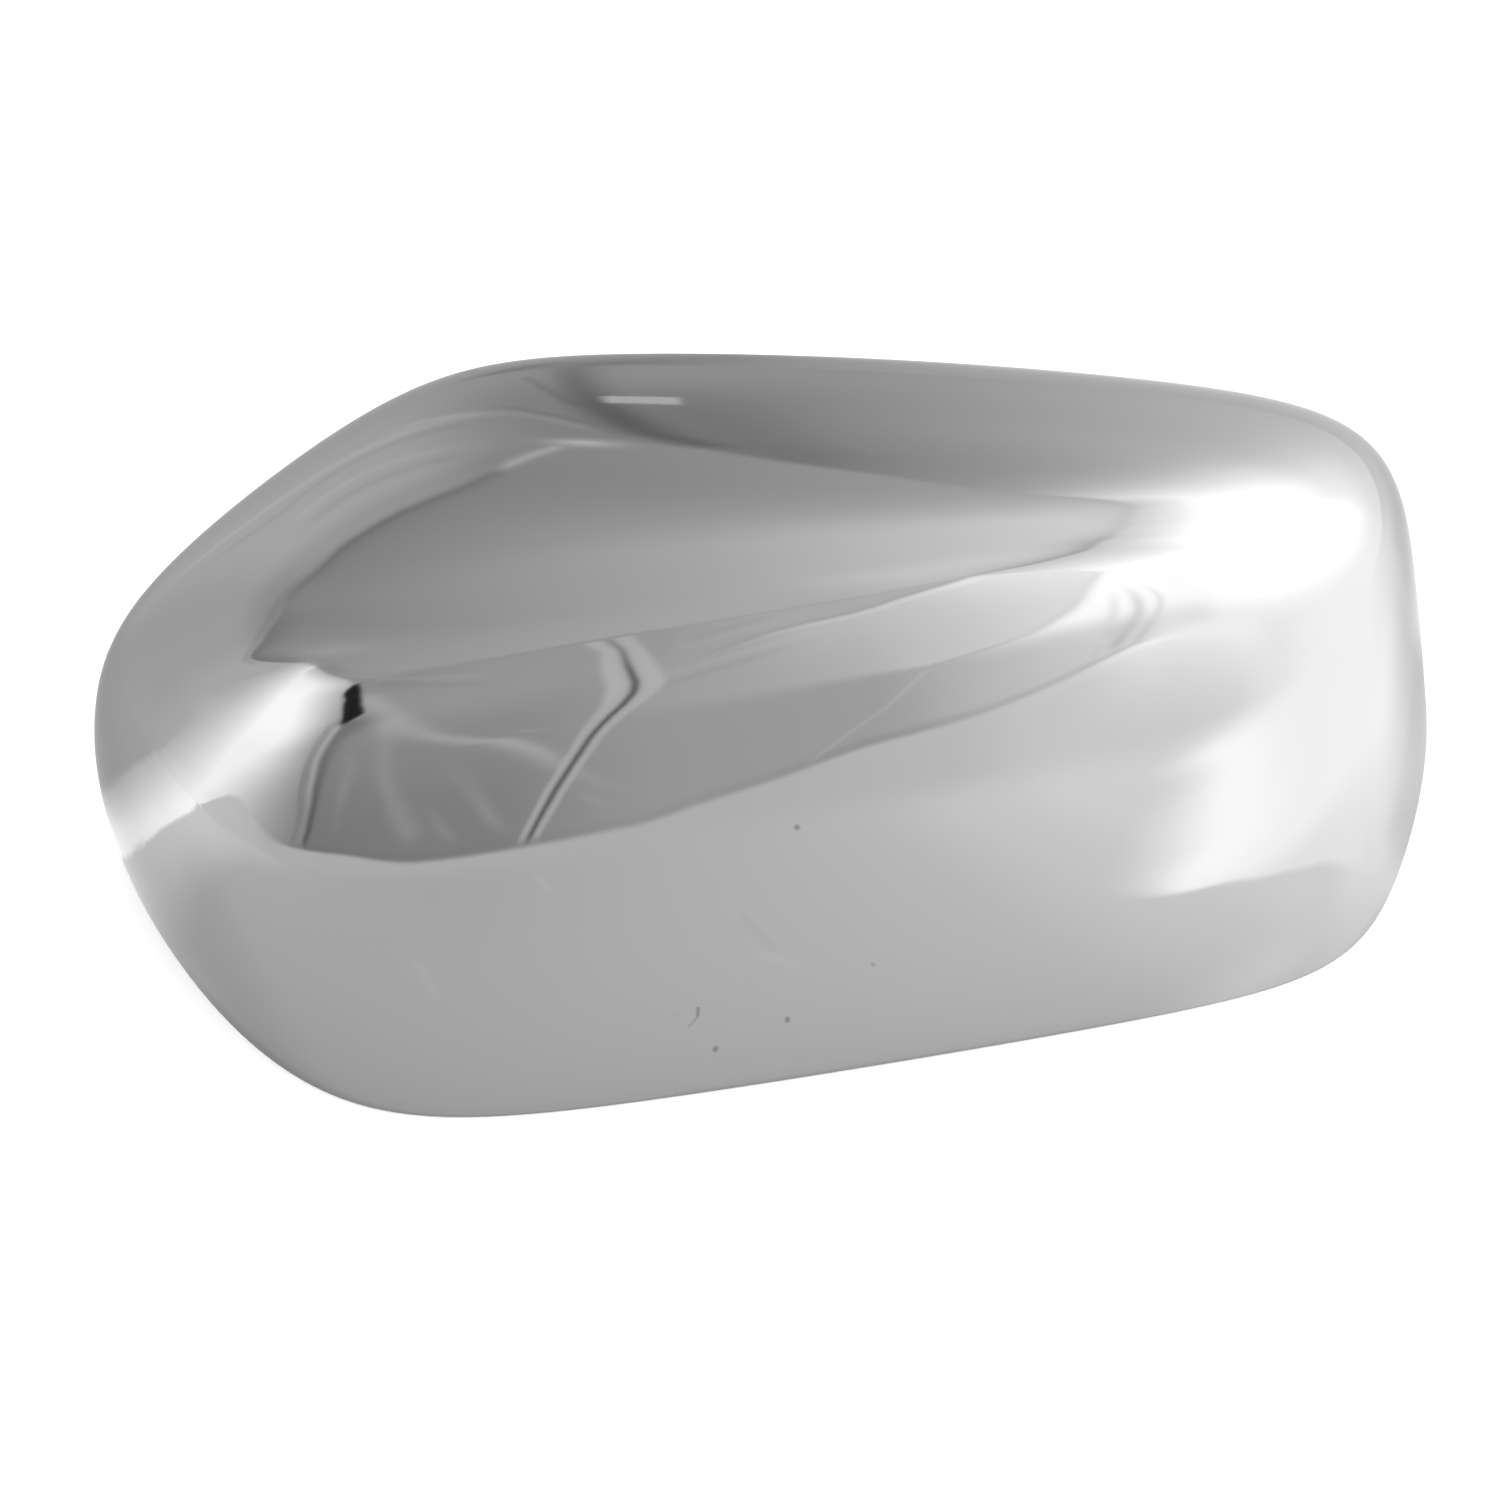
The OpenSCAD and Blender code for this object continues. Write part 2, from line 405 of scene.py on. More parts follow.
# smooth shading with the true normals of the skin on the outside
me = cover.data
me.polygons.foreach_set("use_smooth", np.ones(len(me.polygons), bool))
me.set_sharp_from_angle(angle=math.radians(32))
co = np.empty(len(me.vertices) * 3, np.float32)
me.vertices.foreach_get("co", co)
co = co.reshape(-1, 3).astype(float) * 1000 + CENTRE
nl = len(me.loops)
lv = np.empty(nl, np.int32)
me.loops.foreach_get("vertex_index", lv)
cn = np.empty(nl * 3, np.float32)
me.corner_normals.foreach_get("vector", cn)
cn = cn.reshape(-1, 3).astype(float)
for inset, sign in ((0.0, 1.0), (WALL, -1.0)):
    g, d = level(co, inset)
    d /= np.linalg.norm(d, axis=1)[:, None]
    on = (abs(g - 1) < 2e-5) & (co[:, 2] > ROUND * 0.99)
    pick = on[lv] & ((cn * d[lv] * sign).sum(1) > 0.97)
    cn[pick] = d[lv][pick] * sign
# the solid's tapered end is a facet shorter than the true curve: keep to its box
own = (co - CENTRE) / 1000
start, stop = -0.116, CAD_BOX[0][0]
tip = own[:, 0] < start
own[tip, 0] = start + (own[tip, 0] - start) * (stop + 0.00001 - start) / (own[:, 0].min() - start)
me.vertices.foreach_set("co", own.astype(np.float32).ravel())
me.update()
me.normals_split_custom_set(cn.tolist())

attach(cover, "root")
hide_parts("cover")


# ---------------------------------------------------------------------------
# The studio: a pale floor, and the soft tent whose reflection the plating shows; the tent and the floor as the plating
# sees them are glowing sheets with painted light and shade, seen only in reflections
# --- surroundings
def soft(x, a, b):
    t = np.clip((x - a) / (b - a), 0, 1)
    return t * t * (3 - 2 * t)


def curve(x, *knots):
    kx = np.array([k[0] for k in knots], float)
    ky = np.array([k[1] for k in knots], float)
    d = np.diff(ky) / np.diff(kx)
    m = np.concatenate([d[:1], np.where(d[:-1] * d[1:] > 0, 2 * d[:-1] * d[1:] / (d[:-1] + d[1:] + 1e-12), 0), d[-1:]])
    x = np.clip(x, kx[0], kx[-1])
    i = np.clip(np.searchsorted(kx, x) - 1, 0, len(kx) - 2)
    h = kx[i + 1] - kx[i]
    t = (x - kx[i]) / h
    return ((2 * t**3 - 3 * t**2 + 1) * ky[i] + (t**3 - 2 * t**2 + t) * h * m[i]
            + (3 * t**2 - 2 * t**3) * ky[i + 1] + (t**3 - t**2) * h * m[i + 1])


def blend_to(base, value, mask):
    return base + (value - base) * mask


def line(d, width):
    return np.exp(-(d / width) ** 2)


def tent_tone(az, el):
    """how bright the tent looks in the plating, 0 to 255.
    az 0 is the front, 90 the broad end's side; el is the height above the floor, in degrees"""
    back = az % 360

    # where the ceiling starts
    edge_el = curve(az, (-180, 50), (-177.8, 52.3), (-173, 56), (-166, 59.8), (-157, 62.6), (-143, 65.6), (-123, 67.9), (-96, 67.2), (-76, 62.9),
                    (-65, 58), (-56, 59.3), (-50, 60), (-40, 56), (-30, 51.5), (-20, 52), (-10, 52.8), (-3, 52.1),
                    (3, 52.4), (9, 52), (14, 53.2), (19, 54.6), (27, 57.3), (34.5, 60.4), (49, 66.2), (74, 70), (90, 70.3), (108, 68.6),
                    (125, 64.2), (136, 61), (148, 57.8), (160, 53), (167, 51), (176, 48), (180, 50))
    over = el - edge_el

    # the walls' painted light: a wide bright panel on the broad end's side, dimmer cloth elsewhere
    low = curve(az, (-180, 142), (-165, 155), (-135, 164), (-110, 155), (-80, 160), (-60, 168), (-25, 140),
                (0, 146), (12, 180), (20, 222), (45, 242), (65, 243), (105, 226), (120, 215), (150, 175), (168, 144), (180, 142))
    mid = curve(az, (-180, 129), (-165, 158), (-140, 164), (-110, 155), (-80, 156), (-60, 166), (-25, 150),
                (0, 168), (10, 190), (20, 240), (32, 268), (85, 268), (105, 242), (122, 228), (150, 169), (168, 134), (180, 129))
    wall = blend_to(low, mid, soft(el, 6, curve(az, (-60, 34), (8, 34), (22, 20), (42, 23), (100, 34))))
    wall = wall + 28 * soft(el, 34, 52) * line(az - 118, 24) - 17 * soft(el, 34, 50) * line(az - 152, 14)
    wall = wall + 10 * line(az - 137, 8) * line(el - 44, 7)
    # it is dimmer just under the ceiling
    under = curve(az, (50, 198), (70, 205), (128, 203)) - curve(az, (18, 5), (34, 5.2), (47, 9), (80, 11)) * np.minimum(over, 0)
    wall = blend_to(wall, np.minimum(wall, under), soft(az, 18, 24) * (1 - soft(az, 128, 140)))
    # painted shade and highlight lines where cloth is stretched along the ceiling at the back left
    wall = wall - 13 * line(over + 1.8, 2.4) * soft(az, -179, -172) * (1 - soft(az, -95, -70))
    for knots, gain, width in (
            (((-178, 37.5), (-168, 36), (-159, 33.6), (-147, 31), (-136, 22.5), (-127, 12)), 8, 2.6),
            (((-177, 40.5), (-168, 39.9), (-160, 39.6), (-153, 41), (-146, 43.8), (-136, 40), (-128, 33)), -6, 1.8),
            (((-174, 48.6), (-168, 48.9), (-161, 48.4), (-152, 50.6), (-141, 54)), 5, 1.2),
            (((-174, 51), (-167.5, 52.4), (-160, 53.2), (-151, 55.5), (-140, 59)), -7, 1.2)):
        first, last = knots[0][0], knots[-1][0]
        wall = wall + gain * line(el - curve(az, *knots), width) * soft(az, first, first + 5) * (1 - soft(az, last - 12, last))

    # the lamp behind the cloth, left of the front
    edge_r = curve(el, (2, -24.8), (20, -24.9), (30, -24.7), (34, -25), (36.4, -25.6), (38.2, -26.3), (41, -27.5),
                   (45.5, -29.8), (50, -31.5), (57, -43), (61, -52))
    mid_az = curve(el, (-3, -59.5), (0, -57), (5, -52.5), (10, -48), (15, -45.5), (20, -43), (28, -40.5), (36, -39), (44, -40), (53, -43.5), (57, -46))
    reach_l = curve(el, (0, 20), (5, 21.3), (10, 22), (20, 21.4), (28, 21.8), (36, 27), (44, 22), (53, 14), (57, 10))
    reach_r = curve(el, (0, 27), (5, 26), (8, 22.5), (10, 20.5), (15, 18), (21, 14), (28, 8.2), (36, 7), (52, 6.5))
    rest_r = curve(el, (0, 118), (5, 132), (10, 140), (15, 150), (21, 157), (28, 151), (36, 160), (45, 178))
    peak = curve(el, (0, 238), (5, 239), (11, 240), (25, 241), (36, 248), (45, 248), (57, 232))
    rise = np.clip((az - mid_az) / reach_l + 1, 0, 1) ** curve(el, (0, 1.02), (20, 1.0), (28, 1.2), (32, 1.5), (36, 1.8), (44, 1.9), (53, 1.5))
    first_az = curve(el, (-3, -75.5), (0, -73.6), (5.1, -70), (12.3, -66.1), (18.8, -63.1), (24, -61.7), (30.3, -60.4), (38, -60))
    rise = rise * np.maximum(soft(az, first_az - 0.7, first_az + 0.4), soft(el, 27, 34))
    drop = np.clip((az - edge_r) / reach_r + 1, 0, 1) ** curve(el, (5, 1.1), (10, 1.15), (15, 1.5), (21, 1.9), (28, 1.9), (36, 1.4), (53, 1.3))
    lamp = np.where(az < mid_az, blend_to(wall, peak, rise), blend_to(peak, rest_r, drop))
    t = blend_to(wall, lamp, 1 - soft(az, edge_r - 0.2, edge_r + 0.5))

    # the front curtain: dimmer painted light on the cloth
    cloth = curve(az, (-25, 117), (-18, 120), (-12, 124), (-9, 126), (-6, 137), (-2, 149), (3, 153), (6.5, 156), (8.2, 161), (10, 173), (11.5, 182),
                  (13.2, 189), (14.5, 195), (16, 199), (18, 215), (20, 232))
    middle = curve(az, (-25, 124), (-18, 131), (-12, 135), (-9, 138), (-6, 145), (-2, 151), (3, 154), (6.5, 157), (10, 176), (13, 190), (20, 232))
    high = curve(az, (-25, 140), (-18, 147), (-12, 149), (-5, 152), (-1, 157), (3, 158))
    front = blend_to(blend_to(cloth, middle, soft(el, 2, 18)), high, soft(el, 16, 36) * (1 - soft(az, 0, 6)))
    # under the leaf it brightens fast to the right
    glare = curve(el, (10, 200), (13, 214), (16, 234), (20, 250), (25, 255), (45, 262))
    glare = np.where(over < 0, np.minimum(glare, 200 - 5 * over), glare)
    front = blend_to(front, glare, soft(el, 9.5, 19) * soft(az, 9, 13.5))
    # the long leaf of light between the seam and the bright panel
    edge_w = curve(el, (12.6, 9.3), (13.8, 11.4), (16.3, 13.9), (21.4, 16.1), (25.9, 17.4), (32.7, 19.2), (39.7, 21.8), (43, 23.2), (48, 23.3), (52, 21.6), (55, 19))
    floor_of = curve(az, (-4, 15.8), (-1, 14.4), (3, 13.4), (6.6, 13), (9.4, 12.7))
    blur = curve(az, (-2, 2.6), (3, 2.2), (6.5, 1.5), (9.2, 0.45))
    leaf = curve(az, (-3, 157), (0, 161), (3, 167), (6.5, 177), (9, 190), (11.5, 199), (14, 210), (19, 226), (23, 233)) + 9 * soft(el, 14, 36) * line(az - 5, 3.5)
    inside = soft(el, floor_of - blur, floor_of + blur) * (1 - soft(az, edge_w - 0.45, edge_w + 0.35)) * soft(az, -4.5, -2.5)
    front = blend_to(front, leaf, inside)
    front = front - 15 * line(az - edge_w - 0.1, 0.45) * soft(el, 12.5, 14.5) * (1 - soft(el, 44, 49))
    # its upper edge with painted highlight and shade lines, and cloth drawn tight above it with painted highlight and
    # shade lines along its folds
    upper = curve(az, (-1.6, 31), (0.5, 35.5), (2.8, 39), (7.2, 41.6), (11, 46.4), (15.7, 51.2), (18.2, 53.4))
    band = soft(az, -2.5, 0.5) * (1 - soft(az, 17.5, 19.5))
    front = blend_to(front, curve(az, (-2, 158), (3, 167), (8, 171), (14, 178), (18, 188)), band * soft(el, upper - 0.3, upper + 1.2))
    front = front + band * (9 * line(el - upper + 1.3, 1.2) * soft(az, -1, 5) - 7 * line(el - upper - 1.2, 1.2))
    for low_el, gain in ((24.3, -5), (28.6, 4), (45.8, -4), (41, 3)):
        front = front + gain * line(el - low_el - 1.1 * az - 1, 1.4) * soft(az, -3.5, -2) * (1 - soft(az, 1, 6))
    front = front - 26 * line(az + 22.5, 2.2) * line(el - 31, 4)
    t = blend_to(t, front, soft(az, edge_r - 0.2, edge_r + 0.5) * (1 - soft(az, 22, 25)))
    # painted highlight lines along folds that fan out from a dark slit in the cloth
    for knots, gains, widths in (
            (((2.7, -3), (3.4, -3.6), (4.3, -4.3), (5.8, -5.2), (8.9, -6.6), (10.9, -7.3), (13.6, -8.5), (15.8, -9.7), (16.9, -10.9),
              (19.4, -12.8), (23.5, -15.3), (28.8, -17.8), (36.5, -21.6), (45, -26.7)),
             ((3, 4), (6, 9), (9, 17), (14, 25), (19, 22), (24, 18), (29, 16), (38, 19), (45, 18)), ((3, 0.35), (9, 0.8), (14, 0.95), (19, 1.1), (28, 1.9), (40, 2.3))),
            (((1.5, -3.6), (2.7, -4.6), (4.2, -5.5)), ((1, 8), (4, 8)), ((1, 0.28), (4, 0.28))),
            (((15.5, -7.3), (16.7, -8.4), (18.4, -9.9)), ((15, 9), (20, 9)), ((15, 0.4), (20, 0.5))),
            (((1.8, -13.35), (3, -13.6), (5.5, -14.25), (9, -15.1), (14.4, -16.2), (22, -17.4), (31, -19.5)),
             ((2, 15), (5.5, 14), (9, 12), (14, 9), (31, 6)), ((2, 0.85), (5.5, 0.85), (9, 0.65), (15, 0.75), (30, 1.0))),
            (((1.2, -11), (2.5, -11.45), (4.8, -12.2), (7, -13)), ((1, 10), (2.5, 10), (4.8, 5), (7, 3)), ((1, 0.4), (7, 0.4))),
            (((1.5, -8.5), (3.4, -9.2), (6.2, -10), (10, -11.1), (13, -12)), ((1.5, 12), (3.5, 12), (6.2, 8), (12, 2)), ((1.5, 0.38), (6, 0.5), (12, 0.6))),
            (((4, -19.7), (6.9, -19.5), (10.5, -19.2), (15.9, -19.2), (22, -20.6)), ((4, 3), (7, 5), (10.5, 8), (16, 6), (22, 5)), ((5, 0.5), (24, 0.7)))):
        d = az - curve(el, *knots)
        first, last = knots[0][0], knots[-1][0]
        fade = soft(el, first - 0.5, first + 1.5) * (1 - soft(el, last - 3, last + 1))
        w = curve(el, *widths)
        t = t + curve(el, *gains) * line(d, np.where((d > 0) & (knots[-1][0] > 40), w * 0.62, w)) * fade

    # the seam of the tent
    seam = curve(el, (0, -7.5), (1.7, -6.9), (3.5, -6.4), (6.7, -5.8), (9.3, -5.45), (12, -5.2), (16, -4.7), (19, -4.3), (22.3, -4.12),
                 (25.5, -4.3), (30, -4.9), (34.4, -5.6), (44, -7.3), (50, -9.1), (56, -11.3))
    half = curve(el, (0, 0.5), (10, 0.62), (18, 1.1), (24, 1.5), (34, 1.5), (45, 1.4), (53, 2.0))
    on = soft(el, 0, 1) * (1 - soft(el, 51, 55))
    d = az - seam
    t = blend_to(t, curve(el, (0, 166), (16, 170), (26, 177), (50, 172)),
                 0.9 * on * (1 - soft(abs(d), half * 0.75, half * 1.25)) * (0.75 + 0.25 * soft(abs(d), 0, half * 0.8)))
    t = blend_to(t, curve(el, (0, 92), (15, 92), (30, 96), (38, 116), (52, 138)), on * line(d, curve(el, (0, 0.15), (12, 0.18), (20, 0.24), (30, 0.24), (44, 0.26), (52, 0.4))))

    # the dark slit in the cloth, painted shade, and the cloth's edge below it with a painted shade line between
    # lighter lines
    slit_l = curve(el, (30, -23.7), (32.3, -24.2), (34, -24.5), (36.4, -25.3), (38.2, -26), (41, -27.2), (42.8, -27.9), (45.5, -29.5), (47.5, -30.4), (50, -31.1))
    slit_r = curve(el, (30, -23.2), (33, -23.4), (35.4, -23), (37, -23.5), (40, -24.9), (42, -25.8), (44.6, -27.2), (46.6, -28.3), (49.5, -30.3))
    t = blend_to(t, 30, soft(az, slit_l - 0.15, slit_l + 0.3) * (1 - soft(az, slit_r - 0.3, slit_r + 0.5)) * soft(el, 30.5, 33) * (1 - soft(el, 49, 50.5)))
    under = soft(el, 1.5, 3) * (1 - soft(el, 31, 34))
    d = az - curve(el, (2, -24.3), (5, -23.1), (10, -22.3), (15, -22.3), (20, -22.6), (30, -23.0), (34, -23.4))
    t = blend_to(t, curve(el, (2, 133), (7, 138), (14, 155), (22, 161), (30, 166)), line(d + 0.95, 0.6) * under * 0.95)
    t = blend_to(t, curve(el, (3, 90), (8, 94), (15, 104), (24, 114)), line(d, np.where(d > 0, curve(el, (8, 0.42), (22, 0.95)), 0.42)) * under)
    t = blend_to(t, curve(el, (3, 120), (15, 136), (24, 143)), line(d + 2.0, 0.3) * under * 0.8)

    # painted shade in creases in the cloth beside the bright panel
    for knots, tone, width in (
            (((7.5, 16.2), (10.7, 16.8), (14, 17.4), (24.5, 18.9), (38, 21.2)), 216, 0.3),
            (((8, 17), (11.7, 17.9), (16.7, 19.1), (24.4, 20.1), (35, 21.3)), 204, 0.36),
            (((8.6, 18.1), (12.1, 19.1), (16.8, 20.3), (22.5, 21.2), (33.5, 22)), 213, 0.28)):
        d = az - curve(el, *knots)
        t = blend_to(t, np.minimum(t, tone + np.where(el < 12, 6, 2) * (el - 12)), line(d, width) * soft(el, knots[0][0], knots[0][0] + 2) * (1 - soft(el, 22, knots[-1][0] + 2)))
    t = t - 8 * soft(az, 16.6, 17.4) * (1 - soft(az, 19.2, 20.6)) * line(el - 12.5, 3.5)
    # a thin painted highlight line in the cloth
    t = t + 9 * line(az - curve(el, (2, 4.3), (4.1, 6.1), (6.5, 7.7), (9.5, 8.7), (12, 9.4)), 0.16) * soft(el, 1.6, 2.5) * (1 - soft(el, 10, 12.5))

    # the ceiling's painted light, brighter towards the broad end's side and darker towards the back, with painted
    # shade along its edge
    lat = np.cos(np.radians(az - 88))
    s = np.clip((90 - el) / 15, 0, 1.2)
    ceil = 166 + s * np.where(lat > 0, 36 * lat, 26 * lat)
    ceil = ceil - 32 * soft(np.cos(np.radians(az + 172)), 0.3, 1.0) * soft(90 - el, 10, 34)
    ceil = ceil + 14 * soft(az, 5, 20) * (1 - soft(az, 28, 60)) * soft(90 - el, 14, 26)
    crease = curve(az, (-175, 0), (-150, 6), (-100, 8), (-85, 22), (-62, 28), (-48, 10), (-30, 6), (-22, 11), (-8, 12), (3, 9), (10, 12), (17, 18), (21, 30), (26, 46), (36, 50), (52, 34), (62, 17), (68, 15), (90, 18), (128, 18), (145, 6), (180, 0))
    ceil = ceil - crease * np.exp(-np.clip(over, 0, 60) / curve(az, (-60, 2.8), (-30, 1.0), (10, 1.0), (24, 1.6), (60, 1.4), (90, 0.7), (140, 0.8)))
    ceil = ceil + 13 * line(az + 55, 9) * line(el - 64, 3)
    t = blend_to(t, ceil, soft(over, -0.4, 0.5))
    for knots, gain, width in (
            (((-30, 51.7), (-28.8, 51), (-23, 47.9), (-18.7, 45.4), (-14.9, 42.7)), 5, 0.9),
            (((-28.5, 49.8), (-27.5, 49), (-21.6, 44.8), (-17.2, 41.2), (-13.5, 37.4)), -5, 1.0)):
        t = t + gain * line(el - curve(az, *knots), width) * soft(az, knots[0][0], knots[0][0] + 2) * (1 - soft(az, knots[-1][0] - 3, knots[-1][0]))
    t = t - 15 * line(over + curve(az, (-170, -0.1), (-120, 0.1), (-95, 0.7), (-66, 1.0)), 0.75) * (1 - soft(az, -66, -58)) * soft(az, -178, -170)
    hem = curve(az, (-54, 61), (-47.2, 59.5), (-41.9, 57.8), (-37.1, 55.6), (-33.6, 54.1), (-27.7, 52.6), (-21.7, 52), (-16.7, 52.2), (-13, 53), (-6, 53), (3, 52.6), (17, 54.2))
    t = blend_to(t, curve(az, (-54, 156), (-47, 144), (-42, 136), (-37, 142), (-33, 146), (-20, 144), (-12, 146), (0, 152), (17, 170)),
                 line(el - hem, 0.75) * soft(az, -56, -49) * (0.9 - 0.6 * soft(az, -10, -3)) * (1 - soft(az, 10, 17)))

    # the floor's painted light sweeping up to the cloth, with a painted shade line along the lip and a painted
    # highlight line below it
    lip = curve(az, (-75, -12), (-58, -4), (-53, 0), (-50.6, 1.7), (-46.1, 5.1), (-43, 7.1), (-40, 8.5), (-38, 8.6), (-36, 7.5), (-34, 5.2), (-32, 3), (-30, 1.8), (-28, 1.5),
                (-20, 1.3), (-13, 0.2), (-3, 0.05), (0, 0.65), (3.2, 1.35), (6.7, 2.45), (9, 2.85), (11.4, 3.35), (13.4, 4.25), (15, 5.4), (16.8, 7.2), (18.4, 8.8), (20, 9.6), (25, 9), (32, 5), (45, 0), (60, -6))
    sweep = curve(az, (-60, 196), (-50, 190), (-42, 185), (-36, 181), (-30, 172), (-15, 171), (0, 174), (10, 184), (14, 197), (20, 203), (24, 211), (28, 226), (38, 240), (45, 242))
    sweep = sweep + 3.6 * el * soft(az, 14, 19) * (1 - soft(az, 24, 31)) + 0.3 * np.clip(el, 0, 9) * soft(-az, 33, 40)
    fuzz = curve(az, (-46, 0.3), (-38, 1.2), (-31, 1.6), (-27, 0.35), (17.5, 0.25), (20, 1.2), (24, 4), (40, 5))
    rim = curve(az, (-25, 0), (-15, 0), (0, 0), (12, 1), (17, 5), (19, 8), (22, 0))
    crest = curve(az, (-28, 0), (-22, 5), (-12, 3), (0, 4), (8, 11), (15, 14), (17.5, 15), (19.5, 0))
    t = t - crest * line(el - lip - 0.35, 0.45)
    t = blend_to(t, sweep + rim * line(el - lip + 0.6, 0.5), (1 - soft(el - lip, -0.75 * fuzz, fuzz)) * (1 - soft(az, 35, 50)))

    # the far corner, opposite the front: painted shade in its crease, and painted highlights and shade lines beside it
    turn = curve(el, (0, 176.6), (27, 176.0), (38, 175.4), (45, 174.2), (48, 171.5))
    t = blend_to(t, curve(el, (0, 124), (20, 112), (30, 106), (42, 98), (48, 104)), line(back - turn, curve(el, (0, 1.6), (30, 1.3), (48, 2.2))) * (1 - soft(el, 47.5, 49.5)))
    t = t - 14 * line(back - turn + 5, 5) * soft(el, 20, 40) * (1 - soft(over, -1, 0))
    t = blend_to(t, 168, soft(back, 171, 171.6) * (1 - soft(back, 174.7, 175.6)) * soft(el, 30.3, 31.3) * (1 - soft(el, 34, 35.2)))
    t = blend_to(t, 172, line(back - 178.5, 2.2) * line(el - 49, 1.0))
    t = blend_to(t, 160, line(el - curve(back, (180, 50), (187, 56)), 0.7) * soft(back, 179, 181) * (1 - soft(back, 185, 188)))
    for knots, gain, width in (
            (((176, 46.5), (178, 43.5), (181, 39), (184, 37), (188, 34), (196, 30)), 9, 1.4),
            (((176, 44.5), (178.5, 40.5), (181, 36), (185, 32)), -9, 1.2),
            (((176.5, 39), (177.2, 33), (178.4, 22), (179.6, 9)), -10, 2.5)):
        x, y = (back, el) if knots[0][1] - knots[-1][1] < 20 else (el, back)
        pts = sorted((k if x is back else k[::-1]) for k in knots)
        t = t + gain * line(y - curve(x, *pts), width if x is back else 0.5) * soft(x, pts[0][0], pts[0][0] + 2) * (1 - soft(x, pts[-1][0] - 6, pts[-1][0]))
    return t


